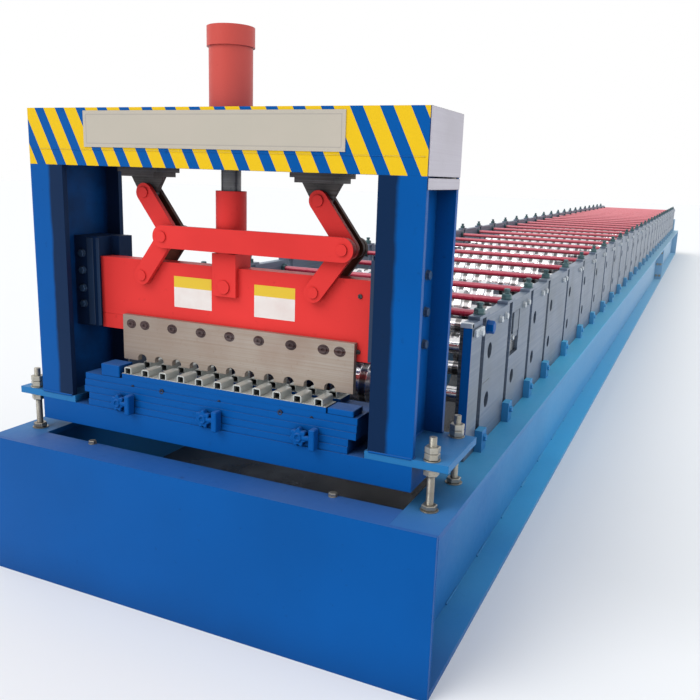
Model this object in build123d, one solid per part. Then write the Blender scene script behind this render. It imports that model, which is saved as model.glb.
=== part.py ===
from build123d import *
import math
import os

# Roll forming machine with a hydraulic guillotine at its exit end.
# Millimetres. +X is right as seen facing the exit end, +Y runs back along the line, +Z is up.
# The origin is on the floor under the middle of the base.

# Base frame
BASE_LENGTH = 17000.0
BASE_WIDTH = 1710.0
BASE_HEIGHT = 520.0
BEAM_FLANGE_WIDTH = 148.0
BEAM_FLANGE_OVERHANG = 105.0
BEAM_FLANGE_THICKNESS = 20.0
BEAM_WEB_THICKNESS = 16.0
END_PLATE_THICKNESS = 16.0
JOINT_PLATE_THICKNESS = 32.0
JOINT_PLATE_SETBACK = 11400.0
FRONT_DECK_DEPTH = 112.0
FRONT_DECK_THICKNESS = 16.0
CROSS_MEMBER_COUNT = 12
CROSS_MEMBER_WIDTH = 100.0
CROSS_MEMBER_HEIGHT = 160.0
TRAY_THICKNESS = 6.0

# Roll stands: a few close together at the exit, the others at the pitch of the line
STATION_COUNT = 28
EXIT_STATION_COUNT = 3
EXIT_STATION_PITCH = 408.0
STATION_PITCH = 580.0
FIRST_STAND_FRONT = 781.0
EXIT_PLATE_LENGTH = 130.0
STAND_GAP = 50.0
STAND_THICKNESS = 42.0
STAND_OUTSET = 752.0
STAND_TOP = 1010.0
RAIL_HEIGHT = 40.0
SHAFT_SETBACK = 79.0
LOWER_SHAFT_HEIGHT = 684.0
SHAFT_SPACING = 188.0
SHAFT_DIAMETER = 60.0
SHAFT_RECESS = 30.0
SHAFT_FIT = 0.05
SLOT_STAND = 1
SLOT_WIDTH = 140.0
SLOT_HEIGHT = 180.0
SLOT_DEPTH = 14.0
TIE_ROD_DIAMETER = 30.0
TIE_ROD_SETBACK = 60.0
TIE_ROD_DROP = 45.0
SCREW_DIAMETER = 24.0
SCREW_HEIGHT = 46.0
NUT_WIDTH = 36.0
NUT_HEIGHT = 19.0
TOP_BAR_HEIGHT = 12.0
TOP_BAR_LENGTH = 130.0
FOOT_BRACKET_LENGTH = 60.0
FOOT_BRACKET_HEIGHT = 80.0
FOOT_BRACKET_DEPTH = 28.0

# Rolls
RIB_COUNT = 11
RIB_PITCH = 74.3
RIB_CREST_WIDTH = 30.0
RIB_SIDE_GAP = 6.0
RIB_DEPTH = 24.0
RIB_DEPTH_AT_INFEED = 4.0
SHEET_GAP = 3.0
SHEET_OFFSET_X = 29.0
LOWER_ROLL_RADIUS = 99.0
ROLL_END_COLLAR = 24.0

# Shear frame
SHEAR_FRONT = 138.0
SHEAR_DEPTH = 296.0
SHEAR_WIDTH = 1448.0
POST_WIDTH = 144.0
POST_FLANGE = 20.0
POST_WEB = 20.0
CROSS_BEAM_BOTTOM = 574.0
CROSS_BEAM_HEIGHT = 80.0
FOOT_PLATE_THICKNESS = 24.0
FOOT_PLATE_REACH = 111.0
FOOT_PLATE_INSET = 10.0
TOP_BEAM_BOTTOM = 1490.0
TOP_BEAM_HEIGHT = 185.0
SIGN_LENGTH = 953.0
SIGN_HEIGHT = 115.0
SIGN_DROP = 10.0
SIGN_THICKNESS = 3.0
LEVEL_ROD_DIAMETER = 24.0
LEVEL_ROD_REACH = 52.0
LEVEL_ROD_INSET = 26.0
LEVEL_ROD_TOP = 750.0
LEVEL_NUT_WIDTH = 42.0
LEVEL_NUT_HEIGHT = 20.0
TOP_NUT_HEIGHT = 42.0

# Cylinder
CYLINDER_DIAMETER = 139.0
COLLAR_DIAMETER = 151.0
COLLAR_HEIGHT = 60.0
CYLINDER_TOP = 1925.0
ROD_DIAMETER = 65.0
ROD_CLEARANCE = 0.5
SLEEVE_DIAMETER = 101.0
SLEEVE_TOP = 1424.0

# Ram with its clevis, blade and dies
RAM_THICKNESS = 60.0
RAM_BOTTOM = 919.0
RAM_TOP = 1176.0
RAM_STROKE = 40.0
CLEVIS_WIDTH = 92.0
CLEVIS_CHEEK = 16.0
CLEVIS_BOTTOM = 1080.0
CLEVIS_TOP = 1222.0
CLEVIS_PIN_DIAMETER = 45.0
CLEVIS_PIN_HEIGHT = 1112.0
GUIDE_WIDTH = 45.5
GUIDE_FIT = 0.5
GUIDE_BOTTOM = 920.0
GUIDE_TOP = 1245.0
GUIDE_FRONT_REACH = 45.0
GUIDE_BACK_REACH = 100.0
GUIDE_LIP = 34.0
BLADE_SIDE_GAP = 127.0
BLADE_THICKNESS = 20.0
BLADE_TOP = 979.0
BLADE_BOTTOM = 817.0
BLADE_CLEARANCE = 5.0
DIE_TOP = 787.0
DIE_HEIGHT = 20.0
DIE_DEPTH = 73.0
DIE_SIDE_MARGIN = 12.0
RIB_WALL = 4.0
RIB_HOLLOW_DEPTH = 60.0
HOLDER_SIDE_GAP = 45.0
HOLDER_STEP_WIDTH = 24.0
HOLDER_STEP_DEPTH = 4.0
HOLDER_LAYERS = 5
HOLDER_WIDE_LAYERS = 3
END_BLOCK_WIDTH = 88.0
END_BLOCK_HEIGHT = 75.0
DIE_CLAMP_COUNT = 3
DIE_CLAMP_PITCH = 358.0
CLAMP_OFFSET = 45.0
CLAMP_WIDTH = 20.0
CLAMP_DEPTH = 34.0
CLAMP_HEIGHT = 68.0
CLAMP_NECK_DIAMETER = 18.0
CLAMP_DISC_DIAMETER = 62.0
CLAMP_DISC_THICKNESS = 22.0
CLAMP_DISC_OFFSET = 55.0

# Toggle links
TOGGLE_SIDE_GAP = 246.0
TOGGLE_TOP_PIN = 1407.0
TOGGLE_BOTTOM_PIN = 1125.0
KNEE_OFFSET = 106.0
LINK_WIDTH = 64.0
LINK_THICKNESS = 16.0
LINK_GAP = 5.0
LUG_THICKNESS = 18.0
LUG_WIDTH = 72.0
LUG_PLATE_WIDTH = 168.0
LUG_PLATE_HEIGHT = 15.0
LUG_STEP_WIDTH = 135.0
LUG_STEP_HEIGHT = 15.0
LUG_PLATE_DEPTH = 120.0
PIN_DIAMETER = 36.0
PIN_FIT = 0.05
PIN_PROUD = 5.0
OPEN_PIVOT_CLEARANCE = 6.0
BAR_HEIGHT = 76.0
BAR_THICKNESS = 18.0

# Infeed guide table
TABLE_LENGTH = 420.0
TABLE_GAP = 24.0
TABLE_PLATE_THICKNESS = 12.0
TABLE_LEG_WIDTH = 60.0
TABLE_HALF_WIDTH = 600.0

# Values worked out from the sizes above
front = -BASE_LENGTH / 2
half_width = BASE_WIDTH / 2
flange_inner = half_width - BEAM_FLANGE_WIDTH
web_outer = half_width - BEAM_FLANGE_OVERHANG
web_inner = web_outer - BEAM_WEB_THICKNESS
shear_front = front + SHEAR_FRONT
shear_back = shear_front + SHEAR_DEPTH
shear_mid = (shear_front + shear_back) / 2
shear_half = SHEAR_WIDTH / 2
clear_half = shear_half - POST_WIDTH
post_web_inner = (clear_half + shear_half - POST_WEB) / 2
ram_half = clear_half - GUIDE_WIDTH - GUIDE_FIT
blade_half = clear_half - BLADE_SIDE_GAP
blade_left = SHEET_OFFSET_X - blade_half
blade_right = SHEET_OFFSET_X + blade_half
holder_half = clear_half - HOLDER_SIDE_GAP
toggle_half = clear_half - TOGGLE_SIDE_GAP
level_rod_x = shear_half + LEVEL_ROD_REACH
cross_beam_top = CROSS_BEAM_BOTTOM + CROSS_BEAM_HEIGHT
foot_top = cross_beam_top + FOOT_PLATE_THICKNESS
beam_top = TOP_BEAM_BOTTOM + TOP_BEAM_HEIGHT
upper_shaft_height = LOWER_SHAFT_HEIGHT + SHAFT_SPACING
pass_line = LOWER_SHAFT_HEIGHT + LOWER_ROLL_RADIUS
stand_bottom = BASE_HEIGHT + RAIL_HEIGHT
stand_inner = STAND_OUTSET - STAND_THICKNESS
knee_height = (TOGGLE_TOP_PIN + TOGGLE_BOTTOM_PIN) / 2
pin_radius = PIN_DIAMETER / 2
rib_positions = [SHEET_OFFSET_X + (n - (RIB_COUNT - 1) / 2) * RIB_PITCH for n in range(RIB_COUNT)]
blade_ribs = [
    x for x in rib_positions if blade_left + RIB_CREST_WIDTH < x < blade_right - RIB_CREST_WIDTH
]

# Front and length of each stand, from the exit to the infeed
stands = []
y = front + FIRST_STAND_FRONT
for n in range(STATION_COUNT):
    pitch = EXIT_STATION_PITCH if n < EXIT_STATION_COUNT else STATION_PITCH
    stands.append((y, pitch - STAND_GAP))
    y += pitch
stands_end = y - STAND_GAP


def block(x0, x1, y0, y1, z0, z1):
    """A box between two corners."""
    return Pos((x0 + x1) / 2, (y0 + y1) / 2, (z0 + z1) / 2) * Box(x1 - x0, y1 - y0, z1 - z0)


def rod_x(radius, x0, x1, y, z):
    """A round bar along X."""
    return Pos((x0 + x1) / 2, y, z) * Rot(0, 90, 0) * Cylinder(radius, x1 - x0)


def rod_y(radius, x, y0, y1, z):
    """A round bar along Y."""
    return Pos(x, (y0 + y1) / 2, z) * Rot(90, 0, 0) * Cylinder(radius, y1 - y0)


def rod_z(radius, x, y, z0, z1):
    """A round bar upright."""
    return Pos(x, y, (z0 + z1) / 2) * Cylinder(radius, z1 - z0)


def nut_z(width, x, y, z0, z1):
    """A hexagon nut or bolt head standing on z0."""
    return Pos(x, y, z0) * extrude(RegularPolygon(width / 2, 6, major_radius=False), z1 - z0)


def mirrored(shape):
    """The same piece on the other side of the machine."""
    return mirror(shape, about=Plane.YZ)


nodes = {}

# Side beams: upright webs with flanges to both sides, closed by a plate at each end
beam_front = front + END_PLATE_THICKNESS
beam_back = -front - END_PLATE_THICKNESS
side_beam = block(flange_inner, half_width, beam_front, beam_back, 0, BASE_HEIGHT)
for x0, x1 in ((flange_inner - 1, web_inner), (web_outer, half_width + 1)):
    side_beam -= block(
        x0,
        x1,
        beam_front - 1,
        beam_back + 1,
        BEAM_FLANGE_THICKNESS,
        BASE_HEIGHT - BEAM_FLANGE_THICKNESS,
    )
# Plates between the outer flanges where the two lengths of the base are bolted together
joint_front = front + JOINT_PLATE_SETBACK
side_beam += block(
    web_outer,
    half_width,
    joint_front,
    joint_front + JOINT_PLATE_THICKNESS,
    BEAM_FLANGE_THICKNESS,
    BASE_HEIGHT - BEAM_FLANGE_THICKNESS,
)
nodes["base_side_beams"] = [side_beam, mirrored(side_beam)]

# Front plate with a strip of deck bent back from its top, and the plain rear plate
front_plate = block(-half_width, half_width, front, beam_front, 0, BASE_HEIGHT)
front_plate += block(
    -flange_inner,
    flange_inner,
    beam_front,
    beam_front + FRONT_DECK_DEPTH,
    BASE_HEIGHT - FRONT_DECK_THICKNESS,
    BASE_HEIGHT,
)
nodes["base_front_plate"] = front_plate
nodes["base_rear_plate"] = block(-half_width, half_width, beam_back, -front, 0, BASE_HEIGHT)

# Cross members between the two webs
member_front = beam_front + FRONT_DECK_DEPTH
member_pitch = (beam_back - member_front) / CROSS_MEMBER_COUNT
members = []
for n in range(CROSS_MEMBER_COUNT):
    y = member_front + member_pitch * (n + 0.5)
    members.append(
        block(
            -web_inner,
            web_inner,
            y - CROSS_MEMBER_WIDTH / 2,
            y + CROSS_MEMBER_WIDTH / 2,
            BEAM_FLANGE_THICKNESS,
            BEAM_FLANGE_THICKNESS + CROSS_MEMBER_HEIGHT,
        )
    )
nodes["base_cross_members"] = members

# Oil tray lying on the cross members
tray_bottom = BEAM_FLANGE_THICKNESS + CROSS_MEMBER_HEIGHT
nodes["base_oil_tray"] = block(
    -web_inner, web_inner, beam_front, beam_back, tray_bottom, tray_bottom + TRAY_THICKNESS
)

# Rails along the side beams that carry the stands
exit_plate_back = stands[0][0] - STAND_GAP
exit_plate_front = exit_plate_back - EXIT_PLATE_LENGTH
rail = block(stand_inner, STAND_OUTSET, exit_plate_front, stands_end, BASE_HEIGHT, stand_bottom)
nodes["stand_rails"] = [rail, mirrored(rail)]

# Stand plates, each bored for its two shafts, after a short plain plate at the exit.
# The second has a slot in its outer face, in which the block of its upper shaft slides.
shaft_radius = SHAFT_DIAMETER / 2
exit_plate = block(stand_inner, STAND_OUTSET, exit_plate_front, exit_plate_back, stand_bottom, STAND_TOP)
plates = [exit_plate, mirrored(exit_plate)]
for n, (y0, length) in enumerate(stands):
    plate = block(stand_inner, STAND_OUTSET, y0, y0 + length, stand_bottom, STAND_TOP)
    y = y0 + SHAFT_SETBACK
    for z in (LOWER_SHAFT_HEIGHT, upper_shaft_height):
        plate -= rod_x(shaft_radius + SHAFT_FIT, stand_inner - 1, STAND_OUTSET + 1, y, z)
    if n == SLOT_STAND:
        plate -= block(
            STAND_OUTSET - SLOT_DEPTH,
            STAND_OUTSET + 1,
            y - SLOT_WIDTH / 2,
            y + SLOT_WIDTH / 2,
            upper_shaft_height - SLOT_HEIGHT / 2,
            upper_shaft_height + SLOT_HEIGHT / 2,
        )
    plates += [plate, mirrored(plate)]
nodes["stand_plates"] = plates


def roll(station_y, z, mean, depth, upper):
    """One forming roll with its shaft: rings that mesh with the roll above or below."""
    high = mean + depth / 2
    low = mean - depth / 2
    crest = RIB_CREST_WIDTH / 2 if upper else RIB_CREST_WIDTH / 2 + RIB_SIDE_GAP
    inside = high if upper else low
    outside = low if upper else high
    margin = RIB_PITCH / 2 + ROLL_END_COLLAR
    start = rib_positions[0] - margin
    end = rib_positions[-1] + margin
    points = [(start, 0), (start, outside)]
    for x in rib_positions:
        points += [(x - crest, outside), (x - crest, inside), (x + crest, inside), (x + crest, outside)]
    points += [(end, outside), (end, 0)]
    face = make_face(Plane.XZ * Polyline(*points, close=True))
    body = revolve(face, Axis.X, 360)
    shaft_end = STAND_OUTSET - SHAFT_RECESS
    return Pos(0, station_y, z) * (body + rod_x(shaft_radius, -shaft_end, shaft_end, 0, 0))


upper_roll_radius = SHAFT_SPACING - SHEET_GAP - LOWER_ROLL_RADIUS
upper_rolls = []
lower_rolls = []
for n, (y0, length) in enumerate(stands):
    share = 1 - n / (STATION_COUNT - 1)
    depth = RIB_DEPTH_AT_INFEED + (RIB_DEPTH - RIB_DEPTH_AT_INFEED) * share
    y = y0 + SHAFT_SETBACK
    upper_rolls.append(roll(y, upper_shaft_height, upper_roll_radius, depth, True))
    lower_rolls.append(roll(y, LOWER_SHAFT_HEIGHT, LOWER_ROLL_RADIUS, depth, False))
nodes["upper_rolls"] = upper_rolls
nodes["lower_rolls"] = lower_rolls

# Painted tie rods between the stand tops
tie_rods = []
for y0, length in stands:
    y = y0 + length - TIE_ROD_SETBACK
    tie_rods.append(rod_x(TIE_ROD_DIAMETER / 2, -stand_inner, stand_inner, y, STAND_TOP - TIE_ROD_DROP))
nodes["stand_tie_rods"] = tie_rods

# Bars bridging the stand tops, an adjusting screw on each, and a bracket at the foot of each joint
top_bars = []
screws = []
brackets = []
for y0, length in stands:
    y = y0 - STAND_GAP / 2
    x = (stand_inner + STAND_OUTSET) / 2
    bar_front = y - TOP_BAR_LENGTH / 2
    bar_back = y + TOP_BAR_LENGTH / 2
    z = STAND_TOP + TOP_BAR_HEIGHT
    bar = block(stand_inner, STAND_OUTSET, bar_front, bar_back, STAND_TOP, z)
    screw = nut_z(NUT_WIDTH, x, y, z, z + NUT_HEIGHT) + rod_z(SCREW_DIAMETER / 2, x, y, z, z + SCREW_HEIGHT)
    bracket = block(
        STAND_OUTSET,
        STAND_OUTSET + FOOT_BRACKET_DEPTH,
        y - FOOT_BRACKET_LENGTH / 2,
        y + FOOT_BRACKET_LENGTH / 2,
        BASE_HEIGHT,
        BASE_HEIGHT + FOOT_BRACKET_HEIGHT,
    )
    top_bars += [bar, mirrored(bar)]
    screws += [screw, mirrored(screw)]
    brackets += [bracket, mirrored(bracket)]
nodes["stand_top_bars"] = top_bars
nodes["adjusting_screws"] = screws
nodes["stand_foot_brackets"] = brackets

# Shear posts: a plate in front and one behind with a web in the middle between them
post = block(clear_half, shear_half, shear_front, shear_back, foot_top, TOP_BEAM_BOTTOM)
for x0, x1 in ((clear_half - 1, post_web_inner), (post_web_inner + POST_WEB, shear_half + 1)):
    post -= block(
        x0,
        x1,
        shear_front + POST_FLANGE,
        shear_back - POST_FLANGE,
        foot_top - 1,
        TOP_BEAM_BOTTOM + 1,
    )
nodes["shear_posts"] = [post, mirrored(post)]

# Top beam with its bore for the piston rod, and the blank sign on its face
beam = block(-shear_half, shear_half, shear_front, shear_back, TOP_BEAM_BOTTOM, beam_top)
beam -= rod_z(ROD_DIAMETER / 2 + ROD_CLEARANCE, 0, shear_mid, TOP_BEAM_BOTTOM - 1, beam_top + 1)
nodes["shear_top_beam"] = beam
nodes["sign_plate"] = block(
    -SIGN_LENGTH / 2,
    SIGN_LENGTH / 2,
    shear_front - SIGN_THICKNESS,
    shear_front,
    beam_top - SIGN_DROP - SIGN_HEIGHT,
    beam_top - SIGN_DROP,
)

# Cross beam at the foot of the shear, foot plates and levelling rods
nodes["shear_cross_beam"] = block(
    -shear_half, shear_half, shear_front, shear_back, CROSS_BEAM_BOTTOM, cross_beam_top
)
foot = block(
    clear_half - FOOT_PLATE_INSET,
    shear_half + FOOT_PLATE_REACH,
    shear_front,
    shear_back,
    cross_beam_top,
    foot_top,
)
level_radius = LEVEL_ROD_DIAMETER / 2
rods = []
nuts = []
for y in (shear_front + LEVEL_ROD_INSET, shear_back - LEVEL_ROD_INSET):
    foot -= rod_z(level_radius + SHAFT_FIT, level_rod_x, y, cross_beam_top - 1, foot_top + 1)
    level = rod_z(level_radius, level_rod_x, y, BASE_HEIGHT, LEVEL_ROD_TOP)
    rods += [level, mirrored(level)]
    for z, height in (
        (BASE_HEIGHT, LEVEL_NUT_HEIGHT),
        (cross_beam_top - LEVEL_NUT_HEIGHT, LEVEL_NUT_HEIGHT),
        (foot_top, TOP_NUT_HEIGHT),
    ):
        nut = nut_z(LEVEL_NUT_WIDTH, level_rod_x, y, z, z + height)
        nut -= rod_z(level_radius + SHAFT_FIT, level_rod_x, y, z - 1, z + height + 1)
        nuts += [nut, mirrored(nut)]
nodes["shear_foot_plates"] = [foot, mirrored(foot)]
nodes["levelling_rods"] = rods
nodes["levelling_nuts"] = nuts

# Cylinder on top of the beam
barrel = rod_z(CYLINDER_DIAMETER / 2, 0, shear_mid, beam_top, CYLINDER_TOP)
barrel += rod_z(COLLAR_DIAMETER / 2, 0, shear_mid, CYLINDER_TOP - COLLAR_HEIGHT, CYLINDER_TOP)
barrel -= rod_z(ROD_DIAMETER / 2 + ROD_CLEARANCE, 0, shear_mid, beam_top - 1, CYLINDER_TOP - COLLAR_HEIGHT)
nodes["cylinder_barrel"] = barrel

# Ram: a deep bar with holes that the lower toggle pins pass through
ram_front = shear_mid - RAM_THICKNESS / 2
ram_back = shear_mid + RAM_THICKNESS / 2
ram = block(-ram_half, ram_half, ram_front, ram_back, RAM_BOTTOM, RAM_TOP)
for x in (-toggle_half, toggle_half):
    ram -= rod_y(pin_radius + OPEN_PIVOT_CLEARANCE, x, ram_front - 1, ram_back + 1, TOGGLE_BOTTOM_PIN)
clevis_pin_radius = CLEVIS_PIN_DIAMETER / 2
ram -= rod_y(clevis_pin_radius + PIN_FIT, 0, ram_front - 1, ram_back + 1, CLEVIS_PIN_HEIGHT)
nodes["ram_beam"] = ram

# Clevis astride the ram, its pin, and the sleeve and rod that push it
clevis_front = ram_front - CLEVIS_CHEEK
clevis_back = ram_back + CLEVIS_CHEEK
clevis = block(-CLEVIS_WIDTH / 2, CLEVIS_WIDTH / 2, clevis_front, clevis_back, CLEVIS_BOTTOM, CLEVIS_TOP)
clevis -= block(-CLEVIS_WIDTH, CLEVIS_WIDTH, ram_front, ram_back, CLEVIS_BOTTOM - 1, RAM_TOP)
clevis -= rod_y(clevis_pin_radius + PIN_FIT, 0, clevis_front - 1, clevis_back + 1, CLEVIS_PIN_HEIGHT)
nodes["ram_clevis"] = clevis
nodes["clevis_pin"] = rod_y(
    clevis_pin_radius, 0, clevis_front - PIN_PROUD, clevis_back + PIN_PROUD, CLEVIS_PIN_HEIGHT
)
nodes["ram_sleeve"] = rod_z(SLEEVE_DIAMETER / 2, 0, shear_mid, CLEVIS_TOP, SLEEVE_TOP)
nodes["piston_rod"] = rod_z(
    ROD_DIAMETER / 2, 0, shear_mid, SLEEVE_TOP, CYLINDER_TOP - COLLAR_HEIGHT - RAM_STROKE / 2
)

# Upper blade, bolted to the face of the ram, with a notch over each rib
blade_front = ram_front - BLADE_THICKNESS
blade = block(blade_left, blade_right, blade_front, ram_front, BLADE_BOTTOM, BLADE_TOP)
crest_half = RIB_CREST_WIDTH / 2
for x in blade_ribs:
    blade -= block(
        x - crest_half,
        x + crest_half,
        blade_front - 1,
        ram_front + 1,
        BLADE_BOTTOM - 1,
        BLADE_BOTTOM + RIB_DEPTH,
    )
nodes["upper_blade"] = blade

# Lower dies in front of the blade and behind it, with a raised rib under each notch.
# The ribs are hollow at the end where the sheet leaves.
die_left = blade_ribs[0] - crest_half - DIE_SIDE_MARGIN
die_right = blade_ribs[-1] + crest_half + DIE_SIDE_MARGIN
die_spans = (
    (blade_front - BLADE_CLEARANCE - DIE_DEPTH, blade_front - BLADE_CLEARANCE),
    (ram_front + BLADE_CLEARANCE, ram_front + BLADE_CLEARANCE + DIE_DEPTH),
)
holder_top = DIE_TOP - DIE_HEIGHT
dies = []
for y0, y1 in die_spans:
    die = block(die_left, die_right, y0, y1, holder_top, DIE_TOP)
    for x in blade_ribs:
        rib = block(x - crest_half, x + crest_half, y0, y1, DIE_TOP, DIE_TOP + RIB_DEPTH)
        rib -= block(
            x - crest_half + RIB_WALL,
            x + crest_half - RIB_WALL,
            y0 - 1,
            y0 + RIB_HOLLOW_DEPTH,
            DIE_TOP,
            DIE_TOP + RIB_DEPTH - RIB_WALL,
        )
        die += rib
    dies.append(die)
nodes["lower_dies"] = dies

# Holder under the dies: bars laid on each other, each a little behind the one below
holder_front = die_spans[0][0]
holder_back = die_spans[1][1]
layer_height = (holder_top - cross_beam_top) / HOLDER_LAYERS
holder = None
for n in range(HOLDER_LAYERS):
    wide = n >= HOLDER_LAYERS - HOLDER_WIDE_LAYERS
    side = holder_half if wide else holder_half - HOLDER_STEP_WIDTH
    layer = block(
        -side,
        side,
        holder_front - HOLDER_STEP_DEPTH * (HOLDER_LAYERS - 1 - n),
        holder_back,
        cross_beam_top + layer_height * n,
        cross_beam_top + layer_height * (n + 1),
    )
    holder = holder + layer if holder else layer
nodes["die_holder"] = holder

# Blocks on the holder at each end of the front die, the left one tall
end_blocks = [
    block(
        die_left - BLADE_CLEARANCE - END_BLOCK_WIDTH,
        die_left - BLADE_CLEARANCE,
        *die_spans[0],
        holder_top,
        holder_top + END_BLOCK_HEIGHT,
    ),
    block(
        die_right + BLADE_CLEARANCE,
        die_right + BLADE_CLEARANCE + END_BLOCK_WIDTH,
        *die_spans[0],
        holder_top,
        DIE_TOP,
    ),
]
nodes["die_end_blocks"] = end_blocks

# Clamps along the front of the holder: an upright bar with a knurled disc beside it
clamp_back = holder_front - HOLDER_STEP_DEPTH * (HOLDER_LAYERS - 1)
disc_radius = CLAMP_DISC_DIAMETER / 2
disc_front = clamp_back - CLAMP_DISC_THICKNESS
disc_height = cross_beam_top + disc_radius
clamps = []
for n in range(DIE_CLAMP_COUNT):
    x = (n - (DIE_CLAMP_COUNT - 1) / 2) * DIE_CLAMP_PITCH + CLAMP_OFFSET
    clamp = block(
        x - CLAMP_WIDTH / 2,
        x + CLAMP_WIDTH / 2,
        clamp_back - CLAMP_DEPTH,
        clamp_back,
        cross_beam_top,
        cross_beam_top + CLAMP_HEIGHT,
    )
    disc_x = x - CLAMP_DISC_OFFSET
    neck_y = clamp_back - CLAMP_DISC_THICKNESS / 2
    clamp += rod_y(disc_radius, disc_x, disc_front, clamp_back, disc_height)
    clamp += rod_x(CLAMP_NECK_DIAMETER / 2, disc_x, x, neck_y, disc_height)
    clamps.append(clamp)
nodes["die_clamps"] = clamps

# Guide rails bolted to the webs of the posts, with a lip behind the ram
guide = block(
    ram_half + GUIDE_FIT,
    post_web_inner,
    shear_mid - GUIDE_FRONT_REACH,
    shear_mid + GUIDE_BACK_REACH,
    GUIDE_BOTTOM,
    GUIDE_TOP,
)
guide += block(
    ram_half + GUIDE_FIT - GUIDE_LIP,
    ram_half + GUIDE_FIT,
    shear_mid + RAM_THICKNESS / 2 + GUIDE_FIT,
    shear_mid + GUIDE_BACK_REACH,
    GUIDE_BOTTOM,
    GUIDE_TOP,
)
nodes["guide_rails"] = [guide, mirrored(guide)]

# Layers of the toggle linkage across the machine, from the middle outwards
lug_half = LUG_THICKNESS / 2
upper_in = lug_half + LINK_GAP
upper_out = upper_in + LINK_THICKNESS
ram_clear = RAM_THICKNESS / 2 + LINK_GAP
lower_in = max(upper_out + LINK_GAP, ram_clear)
lower_out = lower_in + LINK_THICKNESS
bar_in = lower_out + LINK_GAP
bar_out = bar_in + BAR_THICKNESS


def link_plate(start, end, y0, y1, hole):
    """A plate with round ends between two pivots in the XZ plane."""
    (xa, za), (xb, zb) = start, end
    length = math.hypot(xb - xa, zb - za)
    angle = math.degrees(math.atan2(zb - za, xb - xa))
    middle = Pos((xa + xb) / 2, (y0 + y1) / 2, (za + zb) / 2)
    plate = middle * Rot(0, -angle, 0) * Box(length, y1 - y0, LINK_WIDTH)
    for x, z in (start, end):
        plate += rod_y(LINK_WIDTH / 2, x, y0, y1, z)
    for x, z in (start, end):
        plate -= rod_y(hole, x, y0 - 1, y1 + 1, z)
    return plate


hole = pin_radius + PIN_FIT
lug_plate_bottom = TOP_BEAM_BOTTOM - LUG_PLATE_HEIGHT
lug_step_bottom = lug_plate_bottom - LUG_STEP_HEIGHT
lugs = []
top_pins = []
for side, x in (("left", -toggle_half), ("right", toggle_half)):
    top = (x, TOGGLE_TOP_PIN)
    knee = (x + KNEE_OFFSET, knee_height)
    bottom = (x, TOGGLE_BOTTOM_PIN)
    lug = Pos(0, shear_mid, 0) * extrude(
        Plane.XZ
        * make_face(
            Polyline(
                (x - LUG_WIDTH / 2, TOGGLE_TOP_PIN),
                (x + LUG_WIDTH / 2, TOGGLE_TOP_PIN),
                (x + LUG_STEP_WIDTH / 2, lug_step_bottom),
                (x - LUG_STEP_WIDTH / 2, lug_step_bottom),
                close=True,
            )
        ),
        lug_half,
        both=True,
    )
    for width, z0, z1 in (
        (LUG_STEP_WIDTH, lug_step_bottom, lug_plate_bottom),
        (LUG_PLATE_WIDTH, lug_plate_bottom, TOP_BEAM_BOTTOM),
    ):
        half_depth = LUG_PLATE_DEPTH / 2
        lug += block(x - width / 2, x + width / 2, shear_mid - half_depth, shear_mid + half_depth, z0, z1)
    lug += rod_y(LUG_WIDTH / 2, x, shear_mid - lug_half, shear_mid + lug_half, TOGGLE_TOP_PIN)
    lug -= rod_y(hole, x, shear_mid - lug_half - 1, shear_mid + lug_half + 1, TOGGLE_TOP_PIN)
    lugs.append(lug)
    nodes["upper_link_" + side] = [
        link_plate(top, knee, shear_mid - upper_out, shear_mid - upper_in, hole),
        link_plate(top, knee, shear_mid + upper_in, shear_mid + upper_out, hole),
    ]
    top_pins.append(
        rod_y(pin_radius, x, shear_mid - upper_out - PIN_PROUD, shear_mid + upper_out + PIN_PROUD, TOGGLE_TOP_PIN)
    )
    nodes["knee_pin_" + side] = rod_y(
        pin_radius, knee[0], shear_mid - bar_out - PIN_PROUD, shear_mid + lower_out + PIN_PROUD, knee_height
    )
    nodes["lower_link_" + side] = [
        link_plate(knee, bottom, shear_mid - lower_out, shear_mid - lower_in, hole),
        link_plate(knee, bottom, shear_mid + lower_in, shear_mid + lower_out, hole),
    ]
    nodes["bottom_pin_" + side] = rod_y(
        pin_radius, x, shear_mid - lower_out - PIN_PROUD, shear_mid + lower_out + PIN_PROUD, TOGGLE_BOTTOM_PIN
    )
nodes["toggle_lugs"] = lugs
nodes["toggle_top_pins"] = top_pins

# Connecting bar that keeps both knees in step
knee_left = -toggle_half + KNEE_OFFSET
knee_right = toggle_half + KNEE_OFFSET
bar_half = BAR_HEIGHT / 2
bar_front = shear_mid - bar_out
bar_back = shear_mid - bar_in
bar = block(knee_left, knee_right, bar_front, bar_back, knee_height - bar_half, knee_height + bar_half)
for x in (knee_left, knee_right):
    bar += rod_y(bar_half, x, bar_front, bar_back, knee_height)
for x in (knee_left, knee_right):
    bar -= rod_y(hole, x, bar_front - 1, bar_back + 1, knee_height)
nodes["connecting_bar"] = bar

# Infeed table behind the last stand
table_front = stands_end + TABLE_GAP
table_back = table_front + TABLE_LENGTH
table_under = pass_line - TABLE_PLATE_THICKNESS
nodes["infeed_table"] = block(
    -TABLE_HALF_WIDTH, TABLE_HALF_WIDTH, table_front, table_back, table_under, pass_line
)
table_supports = []
for y in (table_front, table_back - TABLE_LEG_WIDTH):
    leg = block(flange_inner, flange_inner + TABLE_LEG_WIDTH, y, y + TABLE_LEG_WIDTH, BASE_HEIGHT, table_under)
    cross_rail = block(
        -flange_inner - TABLE_LEG_WIDTH,
        flange_inner + TABLE_LEG_WIDTH,
        y,
        y + TABLE_LEG_WIDTH,
        table_under - TABLE_LEG_WIDTH,
        table_under,
    )
    table_supports.append(cross_rail + leg + mirrored(leg))
nodes["infeed_table_frame"] = table_supports


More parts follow.
